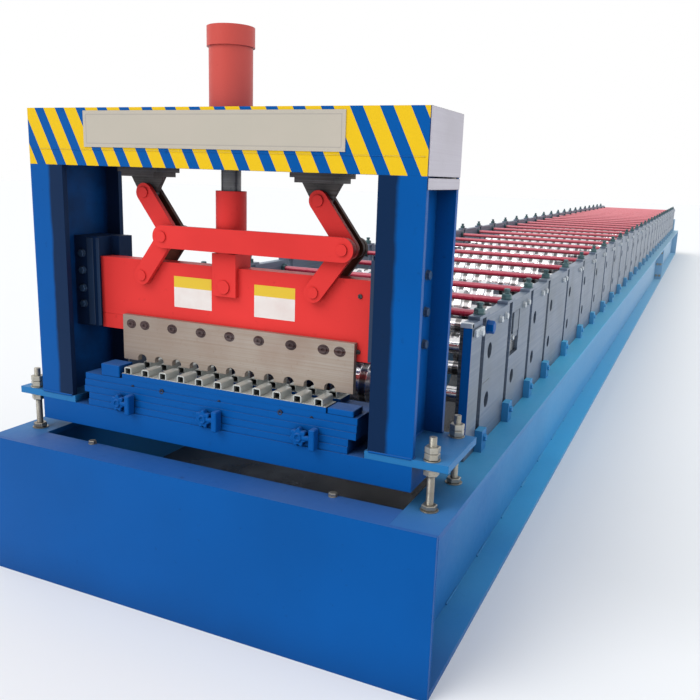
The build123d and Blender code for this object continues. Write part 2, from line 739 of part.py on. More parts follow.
def write(name, shapes):
    """One STEP file for a node."""
    solids = shapes if isinstance(shapes, list) else [shapes]
    flat = [solid for shape in solids for solid in shape.solids()]
    result = flat[0] if len(flat) == 1 else Compound(children=flat)
    result.label = name
    export_step(result, "parts/" + name + ".step")


os.makedirs("parts", exist_ok=True)
for node_name, node_shapes in nodes.items():
    write(node_name, node_shapes)
print(len(nodes), "nodes")
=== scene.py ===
import bpy
import math
import numpy as np
from mathutils import Matrix, Vector


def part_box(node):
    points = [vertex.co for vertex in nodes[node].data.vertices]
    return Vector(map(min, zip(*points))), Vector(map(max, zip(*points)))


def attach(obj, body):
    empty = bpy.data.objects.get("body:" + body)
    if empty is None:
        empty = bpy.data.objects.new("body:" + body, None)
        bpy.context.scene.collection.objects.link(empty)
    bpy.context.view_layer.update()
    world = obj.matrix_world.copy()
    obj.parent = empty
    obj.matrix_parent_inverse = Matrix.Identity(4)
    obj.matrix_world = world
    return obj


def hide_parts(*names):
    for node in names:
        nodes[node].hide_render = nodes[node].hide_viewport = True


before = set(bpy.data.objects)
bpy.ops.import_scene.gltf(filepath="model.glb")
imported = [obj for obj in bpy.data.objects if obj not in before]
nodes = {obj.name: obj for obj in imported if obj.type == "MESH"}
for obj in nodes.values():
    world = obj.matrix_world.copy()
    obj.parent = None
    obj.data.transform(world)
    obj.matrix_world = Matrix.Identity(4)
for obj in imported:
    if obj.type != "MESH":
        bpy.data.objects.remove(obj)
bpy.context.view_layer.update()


# The base is two long side beams of welded plate with a folded plate over the exit end.
# It is brush painted with machine blue: a little cloudy on the wide faces, dusty where it lies flat,
# and darkened with painted shade in the corners. Along the line the beams take a painted pale sheen,
# brightest on their tops, and a painted grey glare far along.
def new_group(name, inputs, outputs):
    """An empty shader group with the named sockets; returns the group, its input and its output node."""
    group = bpy.data.node_groups.new(name, "ShaderNodeTree")
    for label, kind, value in inputs:
        socket = group.interface.new_socket(label, in_out="INPUT", socket_type=kind)
        socket.default_value = value
    for label, kind in outputs:
        group.interface.new_socket(label, in_out="OUTPUT", socket_type=kind)
    return group, group.nodes.new("NodeGroupInput"), group.nodes.new("NodeGroupOutput")


def wire(tree, source, target):
    """Joins an output to an input."""
    tree.links.new(source, target)


def maths(tree, operation, a, b=None):
    """One sum on numbers or sockets, such as MULTIPLY or ADD."""
    node = tree.nodes.new("ShaderNodeMath")
    node.operation = operation
    for socket, value in zip(node.inputs, (a, b)):
        if isinstance(value, (int, float)):
            socket.default_value = value
        elif value is not None:
            wire(tree, value, socket)
    return node.outputs[0]


def blend_colours(tree, factor, first, second):
    """The second colour laid over the first by a factor from 0 to 1."""
    node = tree.nodes.new("ShaderNodeMix")
    node.data_type = "RGBA"
    for socket, value in ((node.inputs[0], factor), (node.inputs[6], first), (node.inputs[7], second)):
        if isinstance(value, (int, float, tuple)):
            socket.default_value = value
        else:
            wire(tree, value, socket)
    return node.outputs[2]


def cloud(tree, place, scale, detail=3.0):
    """Soft noise from 0 to 1, with a number of lumps per metre."""
    node = tree.nodes.new("ShaderNodeTexNoise")
    node.inputs["Scale"].default_value = scale
    node.inputs["Detail"].default_value = detail
    wire(tree, place, node.inputs["Vector"])
    return node.outputs["Fac"]


def stretch(tree, value, low, high, to_low=0.0, to_high=1.0):
    """The value between low and high spread over a new span and held at its ends."""
    node = tree.nodes.new("ShaderNodeMapRange")
    for socket, number in zip(node.inputs[1:5], (low, high, to_low, to_high)):
        socket.default_value = number
    wire(tree, value, node.inputs[0])
    return node.outputs[0]


def place_parts(tree):
    """The place on the piece as a vector, and its X, Y and Z."""
    place = tree.nodes.new("ShaderNodeTexCoord").outputs["Object"]
    parts = tree.nodes.new("ShaderNodeSeparateXYZ")
    wire(tree, place, parts.inputs[0])
    return place, parts.outputs


def facing_parts(tree):
    """The X, Y and Z of the way that the surface faces."""
    parts = tree.nodes.new("ShaderNodeSeparateXYZ")
    wire(tree, tree.nodes.new("ShaderNodeNewGeometry").outputs["Normal"], parts.inputs[0])
    return parts.outputs


def enamel_group():
    """Enamel: paint clouded and spotted with a darker colour, pale dust times how flat it lies, and painted
    shade in the corners.
    """
    group, given, put = new_group(
        "brushed_enamel",
        (
            ("Paint", "NodeSocketColor", (0.01, 0.1, 0.4, 1)),
            ("Grime and shade", "NodeSocketColor", (0.01, 0.02, 0.05, 1)),
            ("Cloudiness", "NodeSocketFloat", 0.12),
            ("Dust", "NodeSocketFloat", 0.25),
            ("Gloss", "NodeSocketFloat", 0.35),
            ("Openness", "NodeSocketFloat", 1.0),
        ),
        (("Color", "NodeSocketColor"), ("Roughness", "NodeSocketFloat"), ("Height", "NodeSocketFloat")),
    )
    place = group.nodes.new("ShaderNodeTexCoord").outputs["Object"]
    broad = cloud(group, place, 2.2)
    fine = cloud(group, place, 38.0, 5.0)
    paint, grime_and_shade = given.outputs["Paint"], given.outputs["Grime and shade"]
    cloudy = blend_colours(group, given.outputs["Cloudiness"], paint, grime_and_shade)
    body = blend_colours(group, stretch(group, broad, 0.35, 0.7), paint, cloudy)
    spots = stretch(group, fine, 0.66, 0.78, 0.0, 0.35)
    body = blend_colours(group, spots, body, grime_and_shade)
    flat = stretch(group, facing_parts(group)[2], 0.6, 1.0)
    dust = maths(group, "MULTIPLY", maths(group, "MULTIPLY", flat, broad), given.outputs["Dust"])
    body = blend_colours(group, dust, body, (0.5, 0.6, 0.68, 1))
    # Painted shade: ambient occlusion lays the darker colour where the surface is closed in.
    corner_shade = stretch(group, given.outputs["Openness"], 0.12, 0.62, 0.9, 0.0)
    body = blend_colours(group, corner_shade, body, grime_and_shade)
    wire(group, body, put.inputs["Color"])
    rough = maths(group, "ADD", given.outputs["Gloss"], maths(group, "MULTIPLY", fine, 0.16))
    wire(group, maths(group, "ADD", rough, dust), put.inputs["Roughness"])
    wire(group, maths(group, "ADD", fine, maths(group, "MULTIPLY", broad, 2.0)), put.inputs["Height"])
    return group


enamel = enamel_group()


def finish(name, group, values, bump, metallic=0.0, shine=0.5, tint=(1, 1, 1, 1), reach=0.3):
    """A material whose colour, roughness and height come from one group, with its edges eased by 2 mm."""
    material = bpy.data.materials.new(name)
    material.use_nodes = True
    tree = material.node_tree
    skin = tree.nodes["Principled BSDF"]
    coat = tree.nodes.new("ShaderNodeGroup")
    coat.node_tree = group
    for label, value in values.items():
        coat.inputs[label].default_value = value
    # Ambient occlusion over the reach is the group's Openness, which paints shade into the corners.
    corners = tree.nodes.new("ShaderNodeAmbientOcclusion")
    corners.samples = 6
    corners.inputs["Distance"].default_value = reach
    wire(tree, corners.outputs["AO"], coat.inputs["Openness"])
    wire(tree, coat.outputs["Color"], skin.inputs["Base Color"])
    wire(tree, coat.outputs["Roughness"], skin.inputs["Roughness"])
    edge = tree.nodes.new("ShaderNodeBevel")
    edge.samples = 4
    edge.inputs["Radius"].default_value = 0.002
    relief = tree.nodes.new("ShaderNodeBump")
    relief.inputs["Strength"].default_value = bump
    relief.inputs["Distance"].default_value = 0.001
    wire(tree, coat.outputs["Height"], relief.inputs["Height"])
    wire(tree, edge.outputs[0], relief.inputs["Normal"])
    wire(tree, relief.outputs[0], skin.inputs["Normal"])
    skin.inputs["Metallic"].default_value = metallic
    skin.inputs["Specular IOR Level"].default_value = shine
    skin.inputs["Specular Tint"].default_value = tint
    return material


def colour_feed(material):
    """A material's node tree, its base colour socket, and the output that feeds that socket."""
    tree = material.node_tree
    socket = tree.nodes["Principled BSDF"].inputs["Base Color"]
    return tree, socket, socket.links[0].from_socket


def paint_node(names, material):
    """Gives CAD nodes a finish."""
    for name in names.split():
        data = nodes[name].data
        data.materials.clear()
        data.materials.append(material)


plate_low, plate_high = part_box("base_front_plate")
front = plate_low.y
deck = plate_high.z
half_base = plate_high.x
BLUE = (0.0025, 0.088, 0.345, 1)
BLUE_GRIME_AND_SHADE = (0.003, 0.012, 0.05, 1)
BLUE_SHEEN = (0.1, 0.45, 1.0, 1)
machine_blue = finish(
    "machine_blue",
    enamel,
    {"Paint": BLUE, "Grime and shade": BLUE_GRIME_AND_SHADE, "Cloudiness": 0.14, "Dust": 0.12},
    0.12,
    shine=0.2,
    tint=BLUE_SHEEN,
)


def beam_material():
    """Machine blue at the exit end, with a painted pale sheen that grows along Y and is brightest on the
    tops, and a painted grey glare far along.
    """
    material = machine_blue.copy()
    material.name = "beam_blue_with_painted_sheen_and_glare"
    tree, base_colour, paint = colour_feed(material)
    place, part = place_parts(tree)
    patches = maths(tree, "MULTIPLY", cloud(tree, place, 1.3, 4.0), 1.6)
    along = maths(tree, "ADD", part[1], patches)
    # Painted sheen: the colour turns pale cyan along Y and brighter cyan on upward faces; painted glare
    # greys it far along.
    film = stretch(tree, along, front + 0.6, front + 3.2, 0.0, 0.85)
    haze = stretch(tree, along, front + 3.5, front + 13.0, 0.0, 0.55)
    colour = blend_colours(tree, film, paint, (0.075, 0.36, 0.66, 1))
    flat = maths(tree, "MULTIPLY", stretch(tree, facing_parts(tree)[2], 0.6, 1.0), film)
    colour = blend_colours(tree, maths(tree, "MULTIPLY", flat, 0.75), colour, (0.1, 0.55, 0.82, 1))
    wire(tree, blend_colours(tree, haze, colour, (0.5, 0.62, 0.68, 1)), base_colour)
    return material


beam_blue_painted_sheen = beam_material()
paint_node("base_side_beams base_rear_plate stand_foot_brackets infeed_table_frame", beam_blue_painted_sheen)
paint_node("base_front_plate", machine_blue)


# Beads of weld join the front plate to the side beams, run by hand and painted over.
# Each is a rippled bar that stands a few millimetres proud of the corner.
def make_mesh(name, shape):
    """A mesh object from arrays: the points, the corners of all faces in turn, and each face's size."""
    points, corners, sizes = shape
    starts = np.concatenate([[0], np.cumsum(sizes)[:-1]])
    data = bpy.data.meshes.new(name)
    data.vertices.add(len(points))
    data.vertices.foreach_set("co", np.asarray(points, np.float32).ravel())
    data.loops.add(len(corners))
    data.loops.foreach_set("vertex_index", np.asarray(corners, np.int32))
    data.polygons.add(len(sizes))
    data.polygons.foreach_set("loop_start", starts.astype(np.int32))
    data.update(calc_edges=True)
    piece = bpy.data.objects.new(name, data)
    bpy.context.scene.collection.objects.link(piece)
    return piece


def ringed(rings):
    """A skin through closed rings: quads between neighbouring rings, and a flat face on the two ends."""
    rows, columns = rings.shape[:2]
    row = np.arange(rows - 1)[:, None] * columns
    here = np.arange(columns)
    beside = np.roll(here, -1)
    quads = np.stack([row + here, row + beside, row + columns + beside, row + columns + here], -1)
    corners = np.concatenate([quads.ravel(), here[::-1], (rows - 1) * columns + here])
    sizes = np.concatenate([np.full((rows - 1) * columns, 4), [columns, columns]])
    return rings.reshape(-1, 3), corners, sizes


def moved(shape, by):
    """The shape carried along by a vector."""
    points, corners, sizes = shape
    return points + np.asarray(by, float), corners, sizes


def placed(shape, spots):
    """The same shape once at each of a list of places."""
    points, corners, sizes = shape
    spots = np.asarray(spots, float).reshape(-1, 3)
    shift = np.arange(len(spots))[:, None] * len(points)
    all_points = (points[None] + spots[:, None]).reshape(-1, 3)
    return all_points, (corners[None] + shift).ravel(), np.tile(sizes, len(spots))


def joined(*shapes):
    """Several shapes as one."""
    points, corners, sizes = zip(*shapes)
    starts = np.cumsum([0] + [len(rows) for rows in points[:-1]])
    corners = [row + start for row, start in zip(corners, starts)]
    return np.concatenate(points), np.concatenate(corners), np.concatenate(sizes)


def reflected(shape):
    """The shape on the other side of the machine: X times -1, with each face's corners in reverse."""
    points, corners, sizes = shape
    return points * np.array([-1.0, 1, 1]), corners[::-1], sizes[::-1]


def both_sides(shape):
    """The shape and its reflection."""
    return joined(shape, reflected(shape))


def fitted(name, shape, material, body, smooth=False):
    """A finished piece that rides on a body, shaded smooth where its faces meet at less than 35 degrees."""
    piece = make_mesh(name, shape)
    piece.data.materials.append(material)
    if smooth:
        piece.data.shade_smooth()
        piece.data.set_sharp_from_angle(angle=math.radians(35))
    else:
        piece.data.shade_flat()
    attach(piece, body)
    return piece


def bead(start, end, radius, ripple=0.009):
    """A weld bead: a round bar whose radius drops a fifth at every second ring along its length."""
    start, end = np.array(start, float), np.array(end, float)
    run = np.linalg.norm(end - start)
    steps = int(run / ripple * 2) + 2
    along = (end - start) / run
    side = np.cross(along, (0.37, 0.61, 0.7))
    side /= np.linalg.norm(side)
    other = np.cross(along, side)
    angle = np.linspace(0, 2 * np.pi, 6, endpoint=False)
    ring = np.cos(angle)[:, None] * side + np.sin(angle)[:, None] * other
    size = radius * (1 - 0.2 * (np.arange(steps) % 2))
    middle = start + np.linspace(0, run, steps)[:, None] * along
    return ringed(middle[:, None] + size[:, None, None] * ring[None])


CORNER_WELD_SPAN = (0.004, 0.516)
weld_x = half_base - 0.0015
weld_y = front + 0.0165
corner_weld = bead(*[(weld_x, weld_y, z) for z in CORNER_WELD_SPAN], 0.003)
fitted("base_corner_welds", both_sides(corner_weld), beam_blue_painted_sheen, "frame", True)


# Short runs of weld hold the webs of the side beams between their flanges.
# They are left as laid and painted over, about a third of the length in all.
WEB_INSET = 0.105
RUN_COUNT = 42
RUN_PITCH = 0.4
RUN_LENGTH = 0.13
RUN_HEIGHTS = (0.022, 0.498)
run_x = half_base - WEB_INSET + 0.002
run_starts = front + 0.1 + np.arange(RUN_COUNT) * RUN_PITCH
flange_runs = [bead((run_x, 0, z), (run_x, RUN_LENGTH, z), 0.004, 0.02) for z in RUN_HEIGHTS]
flange_welds = placed(joined(*flange_runs), [(0, y, 0) for y in run_starts])
fitted("beam_flange_welds", both_sides(flange_welds), beam_blue_painted_sheen, "frame", True)


# The two lengths of the base are drawn together by bolts through plates between the flanges.
# The bolts are zinc plated and carry a washer. One more stands on each side of the deck.
def ground_group():
    """Ground steel: fine streaks along the cut, soft stains and brownish freckles, and painted shade in the
    corners.
    """
    group, given, put = new_group(
        "ground_steel",
        (
            ("Steel", "NodeSocketColor", (0.3, 0.35, 0.42, 1)),
            ("Stain", "NodeSocketColor", (0.2, 0.17, 0.14, 1)),
            ("Stains", "NodeSocketFloat", 0.3),
            ("Polish", "NodeSocketFloat", 0.35),
            ("Grain", "NodeSocketVector", (2.0, 2.0, 300.0)),
            ("Openness", "NodeSocketFloat", 1.0),
        ),
        (("Color", "NodeSocketColor"), ("Roughness", "NodeSocketFloat"), ("Height", "NodeSocketFloat")),
    )
    place = group.nodes.new("ShaderNodeTexCoord").outputs["Object"]
    drawn = group.nodes.new("ShaderNodeVectorMath")
    drawn.operation = "MULTIPLY"
    wire(group, place, drawn.inputs[0])
    wire(group, given.outputs["Grain"], drawn.inputs[1])
    streaks = cloud(group, drawn.outputs[0], 1.0, 2.0)
    broad = cloud(group, place, 5.0, 4.0)
    fleck = stretch(group, cloud(group, place, 90.0, 4.0), 0.62, 0.75)
    steel, stain, stains = (given.outputs[label] for label in ("Steel", "Stain", "Stains"))
    brighter = stretch(group, streaks, 0.3, 0.7, 0.0, 0.12)
    body = blend_colours(group, brighter, steel, (0.8, 0.82, 0.85, 1))
    stained = maths(group, "MULTIPLY", stretch(group, broad, 0.45, 0.7), stains)
    body = blend_colours(group, stained, body, stain)
    body = blend_colours(group, maths(group, "MULTIPLY", fleck, stains), body, stain)
    # Painted shade: ambient occlusion lays near black where the surface is closed in.
    corner_shade = stretch(group, given.outputs["Openness"], 0.1, 0.6, 0.85, 0.0)
    body = blend_colours(group, corner_shade, body, (0.01, 0.012, 0.018, 1))
    wire(group, body, put.inputs["Color"])
    rough = maths(group, "ADD", given.outputs["Polish"], maths(group, "MULTIPLY", broad, 0.2))
    wire(group, rough, put.inputs["Roughness"])
    wire(group, streaks, put.inputs["Height"])
    return group


ground = ground_group()
zinc = finish(
    "yellow_zinc",
    ground,
    {"Steel": (0.4, 0.38, 0.32, 1), "Stain": (0.16, 0.11, 0.07, 1), "Stains": 0.55, "Polish": 0.25},
    0.2,
    metallic=0.75,
    reach=0.05,
)

AXES = {
    "x": ((0, 1, 0), (0, 0, 1), (1, 0, 0)),
    "y": ((0, 0, 1), (1, 0, 0), (0, 1, 0)),
    "z": ((1, 0, 0), (0, 1, 0), (0, 0, 1)),
}


def turned(profile, axis="z", sides=24, turn=0.0):
    """A profile of (radius, height) rows carried round an axis: a ring of points for each row."""
    across, along, up = (np.array(v, float) for v in AXES[axis])
    angle = np.linspace(0, 2 * np.pi, sides, endpoint=False) + turn
    circle = np.cos(angle)[:, None] * across + np.sin(angle)[:, None] * along
    profile = np.asarray(profile, float)
    return ringed(profile[:, :1, None] * circle[None] + profile[:, 1:, None] * up)


HEX_TURN = math.pi / 6


def hex_bolt(width, height, axis):
    """A washer with a hexagon head on it: six sides, with the top edge cut back to a cone."""
    corner = width / math.sqrt(3)
    disc = turned([(width * 0.62, 0), (width * 0.62, height * 0.15)], axis, 18)
    rows = [(corner, height * 0.15), (corner, height * 0.85), (corner * 0.86, height)]
    return joined(disc, turned(rows, axis, 6, HEX_TURN))


def facing_front(shape):
    """A shape made on +Y turned to look at -Y: X and Y times -1."""
    points, corners, sizes = shape
    return points * np.array([-1.0, -1, 1]), corners, sizes


JOINT_SETBACK = 11.4
M16_HEAD = (0.024, 0.012)
joint_y = front + JOINT_SETBACK
joint_spots = [(half_base - across, joint_y, z) for across in (0.075, 0.03) for z in (0.08, 0.26, 0.44)]
joint_bolt = facing_front(hex_bolt(0.03, 0.016, "y"))
fitted("base_joint_bolts", both_sides(placed(joint_bolt, joint_spots)), zinc, "frame")
deck_bolt = placed(hex_bolt(*M16_HEAD, "z"), [(0.479, front + 0.118, deck)])
fitted("deck_bolts", both_sides(deck_bolt), zinc, "frame")


# An oil tray of thin sheet lies inside the base under the rolls; it and the cross members are near black,
# painted shade of the closed base.
# It is glossy enough to mirror the rolls.
near_black_steel = finish(
    "near_black_plate",
    ground,
    {"Steel": (0.012, 0.016, 0.022, 1), "Stain": (0.004, 0.005, 0.007, 1), "Stains": 0.6, "Polish": 0.12},
    0.1,
    metallic=0.2,
    reach=0.1,
)
paint_node("base_oil_tray base_cross_members", near_black_steel)


# The stands are two rows of ground steel plates on rails, oiled; their steel carries a painted bluish
# reflection of the paint below.
# Bars of the same plate bridge their tops, and the infeed table is of the same plate.
stand_steel = finish(
    "stand_steel",
    ground,
    {"Steel": (0.102, 0.148, 0.226, 1), "Stain": (0.165, 0.185, 0.19, 1), "Stains": 0.4, "Polish": 0.3},
    0.1,
    metallic=0.45,
    reach=0.08,
)
paint_node("stand_rails stand_plates stand_top_bars infeed_table", stand_steel)


# The front of the exit plate is painted blue on its outer part and near black on its inner part as painted
# shade, with a bare bright strip along its top.
# A short steel clip is bolted to its side, and a painted nut closes the first joint.
def slab(low, high, edge=0.0015):
    """A block between two corners with its edges cut back: its rings are pulled in at both ends."""
    (x0, y0, z0), (x1, y1, z1) = low, high

    def ring(z, inset):
        """The eight corners of a rectangle with its corners cut off, at one height."""
        a, b, c, d = x0 + inset, x1 - inset, y0 + inset, y1 - inset
        e = edge
        near = [(a + e, c), (b - e, c), (b, c + e), (b, d - e)]
        far = [(b - e, d), (a + e, d), (a, d - e), (a, c + e)]
        return np.concatenate([np.array(near + far, float), np.full((8, 1), z)], 1)

    return ringed(np.stack([ring(z0, edge), ring(z0 + edge, 0), ring(z1 - edge, 0), ring(z1, edge)]))


PLATE_THICKNESS = 0.042
PAINTED_SHADE_SPLIT = 0.03
STRIP_HEIGHT = 0.014
plates_low, plates_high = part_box("stand_plates")
exit_y = plates_low.y
outset = plates_high.x
inner = outset - PLATE_THICKNESS
stand_top = plates_high.z
shade_split_x = outset - PAINTED_SHADE_SPLIT
face_low = plates_low.z + 0.002
face_high = stand_top - STRIP_HEIGHT
exit_face = slab((shade_split_x, exit_y - 0.002, face_low), (outset, exit_y, face_high), 0.0005)
fitted("exit_plate_faces", both_sides(exit_face), machine_blue, "frame")
# Painted shade: the inner part of the plate's front is a near black sheet.
exit_painted_shade = slab((inner, exit_y - 0.001, face_low), (shade_split_x, exit_y, face_high), 0.0005)
fitted("exit_plate_painted_shade", both_sides(exit_painted_shade), near_black_steel, "frame")
bright_steel = finish(
    "bright_steel",
    ground,
    {"Steel": (0.55, 0.6, 0.64, 1), "Stain": (0.3, 0.32, 0.32, 1), "Stains": 0.3, "Polish": 0.25},
    0.1,
    metallic=0.5,
    reach=0.05,
)
CLIP_THICKNESS = 0.014
clip_x = outset + CLIP_THICKNESS
exit_strip = slab((inner, exit_y - 0.003, face_high), (outset, exit_y + 0.02, stand_top + 0.003))
clip = slab((outset, exit_y + 0.016, 0.962), (clip_x, exit_y + 0.115, 0.99), 0.003)
clip_head = moved(hex_bolt(*M16_HEAD, "x"), (clip_x, exit_y + 0.06, 0.976))
exit_clips = both_sides(joined(exit_strip, clip, clip_head))
fitted("exit_plate_clips", exit_clips, bright_steel, "frame")
joint_nut = moved(hex_bolt(0.042, 0.026, "x"), (outset, exit_y + 0.205, 0.97))
fitted("exit_joint_nuts", both_sides(joint_nut), machine_blue, "frame", True)


# A stud with a thick nut and a cap closes each joint between two stands, blackened steel with a green film.
# Brackets on the flange of the base hold the feet of the stands.
def threaded(radius, low, high, pitch, sides=12):
    """A threaded bar: its radius drops a tenth at every second ring, two rings to a pitch."""
    steps = int((high - low) / pitch * 2) + 1
    height = np.linspace(low, high, steps)
    size = radius * (1 - 0.1 * (np.arange(steps) % 2))
    return turned(np.stack([size, height], -1), "z", sides)


def row_middles(name):
    """The middle of each row of a CAD node along Y: its points' Y values split where they jump by 0.1 m."""
    values = np.sort(np.array([v.co.y for v in nodes[name].data.vertices]))
    jumps = np.flatnonzero(np.diff(values) > 0.1)
    return (values[np.append(0, jumps + 1)] + values[np.append(jumps, -1)]) / 2


dark_stud = finish(
    "dark_stud",
    ground,
    {"Steel": (0.03, 0.1, 0.11, 1), "Stain": (0.01, 0.03, 0.04, 1), "Stains": 0.4, "Polish": 0.3},
    0.2,
    metallic=0.5,
    reach=0.05,
)
stud_rows = row_middles("adjusting_screws")
stud_x = (outset + inner) / 2
bar_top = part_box("stand_top_bars")[1].z
stud = joined(
    hex_bolt(0.036, 0.022, "z"),
    threaded(0.0115, 0.022, 0.034, 0.003),
    turned([(0.009, 0.033), (0.013, 0.034), (0.013, 0.041), (0.01, 0.043)], "z", 12),
)
all_studs = both_sides(placed(stud, [(stud_x, y, bar_top) for y in stud_rows]))
studs = fitted("stand_studs", all_studs, dark_stud, "frame")
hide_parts("adjusting_screws")
BRACKET_DEPTH = 0.028
bracket_spots = [(outset + BRACKET_DEPTH, y, deck + 0.05) for y in stud_rows]
foot_bolts = placed(hex_bolt(0.024, 0.01, "x"), bracket_spots)
fitted("foot_bracket_bolts", both_sides(foot_bolts), beam_blue_painted_sheen, "frame")


# The upper shaft of the second stand rides in a block that slides in the slot, beside an opening of painted
# shade.
# A bright screw under the block sets its height, over a second opening of painted shade.
SLOT_HALF = (0.07, 0.09)
SLOT_HEIGHT = 0.872
BRIDGE_TOP = 0.868
slot_x = outset - 0.0125
slot_y = stud_rows[1] + 0.104
slot_low = (-0.001, -SLOT_HALF[0], -SLOT_HALF[1])
# Painted shade: both openings are one near black plate set just behind the outer face of the stand.
slot_painted_shade = moved(slab(slot_low, (0.0, *SLOT_HALF), 0.0003), (slot_x, slot_y, SLOT_HEIGHT))
fitted("slot_painted_shade_plates", both_sides(slot_painted_shade), near_black_steel, "frame")
slide = slab((slot_x, slot_y - 0.022, BRIDGE_TOP), (outset - 0.002, slot_y + 0.068, 0.96), 0.002)
bridge = slab((slot_x, slot_y - 0.07, 0.846), (outset - 0.004, slot_y + 0.068, BRIDGE_TOP), 0.002)
fitted("bearing_slides", both_sides(joined(slide, bridge)), stand_steel, "frame")
slide_screw = moved(hex_bolt(0.018, 0.012, "x"), (outset - 0.004, slot_y - 0.045, 0.857))
fitted("slide_screws", both_sides(slide_screw), bright_steel, "frame")
scribe = slab((outset, exit_y + 0.185, 0.7585), (outset + 0.0004, exit_y + 0.285, 0.761), 0.0001)
fitted("pass_line_marks", both_sides(scribe), near_black_steel, "frame")


# Each pair of rolls is a stack of turned and hard-chromed rings on a shaft.
# The rings shine, and the narrow rings between them are near black.
def new_material(name):
    """A new material, its node tree and its shader node."""
    material = bpy.data.materials.new(name)
    material.use_nodes = True
    return material, material.node_tree, material.node_tree.nodes["Principled BSDF"]


RIB_PITCH = 0.0743
RIB_OFFSET = 0.029


def roll_material():
    """Chrome on the crests of the rings and near black in the grooves, told apart along X, with patches of
    brownish oil over both.
    """
    material, tree, skin = new_material("roll_chrome")
    place, part = place_parts(tree)
    pitches = maths(tree, "DIVIDE", maths(tree, "SUBTRACT", part[0], RIB_OFFSET), RIB_PITCH)
    turns = maths(tree, "FRACT", maths(tree, "ADD", pitches, 0.5))
    phase = maths(tree, "ABSOLUTE", maths(tree, "SUBTRACT", turns, 0.5))
    groove = maths(tree, "MULTIPLY", stretch(tree, phase, 0.3, 0.36), 0.85)
    film = cloud(tree, place, 14.0, 4.0)
    colour = blend_colours(tree, groove, (0.8, 0.8, 0.82, 1), (0.05, 0.045, 0.05, 1))
    oily = stretch(tree, film, 0.5, 0.8, 0.0, 0.4)
    wire(tree, blend_colours(tree, oily, colour, (0.35, 0.3, 0.25, 1)), skin.inputs["Base Color"])
    wire(tree, maths(tree, "ADD", maths(tree, "MULTIPLY", film, 0.25), 0.08), skin.inputs["Roughness"])
    skin.inputs["Metallic"].default_value = 0.9
    return material


paint_node("upper_rolls lower_rolls", roll_material())


# Painted rods tie the tops of the two rows of stands together, in dusty red enamel that a painted glare
# turns pale pink far along the line.
# A hexagon nut holds each end inside the stand, and a bright bolt outside, with a second one beside it.
dusty_red = {
    "Paint": (0.5, 0.03, 0.07, 1),
    "Grime and shade": (0.2, 0.01, 0.03, 1),
    "Cloudiness": 0.4,
    "Dust": 0.5,
    "Gloss": 0.2,
}
tie_red = finish("tie_rod_red", enamel, dusty_red, 0.1)
tree, base_colour, paint = colour_feed(tie_red)
# Painted glare: the red turns pale pink along Y, far from the exit end.
painted_far_glare = stretch(tree, place_parts(tree)[1][1], front + 2.5, front + 12.0, 0.0, 0.85)
wire(tree, blend_colours(tree, painted_far_glare, paint, (0.84, 0.28, 0.31, 1)), base_colour)
paint_node("stand_tie_rods", tie_red)
SECOND_BOLT_BACK = 0.087
tie_rows = row_middles("stand_tie_rods")
tie_low, tie_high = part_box("stand_tie_rods")
tie_z = (tie_low.z + tie_high.z) / 2
tie_nut = turned([(0.026, 0.0), (0.026, 0.016), (0.022, 0.018)], "x", 6, HEX_TURN)
tie_nuts = placed(tie_nut, [(inner - 0.018, y, tie_z) for y in tie_rows])
fitted("tie_rod_nuts", both_sides(tie_nuts), dark_stud, "frame")
end_spots = [(outset, y - back, tie_z + 0.004) for y in tie_rows for back in (0, SECOND_BOLT_BACK)]
end_bolts = placed(hex_bolt(*M16_HEAD, "x"), end_spots)
fitted("tie_rod_end_bolts", both_sides(end_bolts), bright_steel, "frame")


# The guillotine frame is built up from plate: posts of H section, a top beam and a cross beam.
# The paint stays clean outside, and the inner channels of the posts are painted near black as shade.
def post_material():
    """Machine blue, with painted shade laid over what lies inside the webs, thinner towards the outer edges.
    """
    material = machine_blue.copy()
    material.name = "post_blue_painted_shade"
    tree, base_colour, paint = colour_feed(material)
    place, part = place_parts(tree)
    mottle = cloud(tree, place, 9.0, 4.0)
    out = maths(tree, "ADD", maths(tree, "ABSOLUTE", part[0]), maths(tree, "MULTIPLY", mottle, 0.02))
    inner_painted_shade = stretch(tree, out, 0.645, 0.658, 0.9, 0.0)
    wire(tree, blend_colours(tree, inner_painted_shade, paint, (0.0065, 0.0105, 0.026, 1)), base_colour)
    return material


paint_node("shear_posts guide_rails", post_material())
paint_node("shear_cross_beam die_holder", machine_blue)
# The foot plates take a lighter copy of the machine blue: painted light on their bright tops.
foot_blue = finish(
    "foot_blue_painted_light",
    enamel,
    {"Paint": (0.01, 0.19, 0.48, 1), "Grime and shade": BLUE_GRIME_AND_SHADE, "Cloudiness": 0.3, "Dust": 0.08},
    0.12,
    shine=0.25,
)
paint_node("shear_foot_plates", foot_blue)
POST_INNER = 0.58
WEB_FACE = 0.662
posts_low, posts_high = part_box("shear_posts")
foot_low, foot_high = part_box("shear_foot_plates")
weld_runs = (
    ((POST_INNER + 0.004, posts_low.y), (posts_high.x - 0.004, posts_low.y)),
    ((posts_high.x, posts_low.y + 0.003), (posts_high.x, posts_low.y + 0.019)),
    ((posts_high.x, posts_high.y - 0.019), (posts_high.x, posts_high.y - 0.003)),
    ((WEB_FACE, posts_low.y + 0.022), (WEB_FACE, posts_high.y - 0.022)),
)
foot_welds = joined(*[bead((*start, foot_high.z), (*end, foot_high.z), 0.004) for start, end in weld_runs])
fitted("post_foot_welds", both_sides(foot_welds), machine_blue, "frame", True)


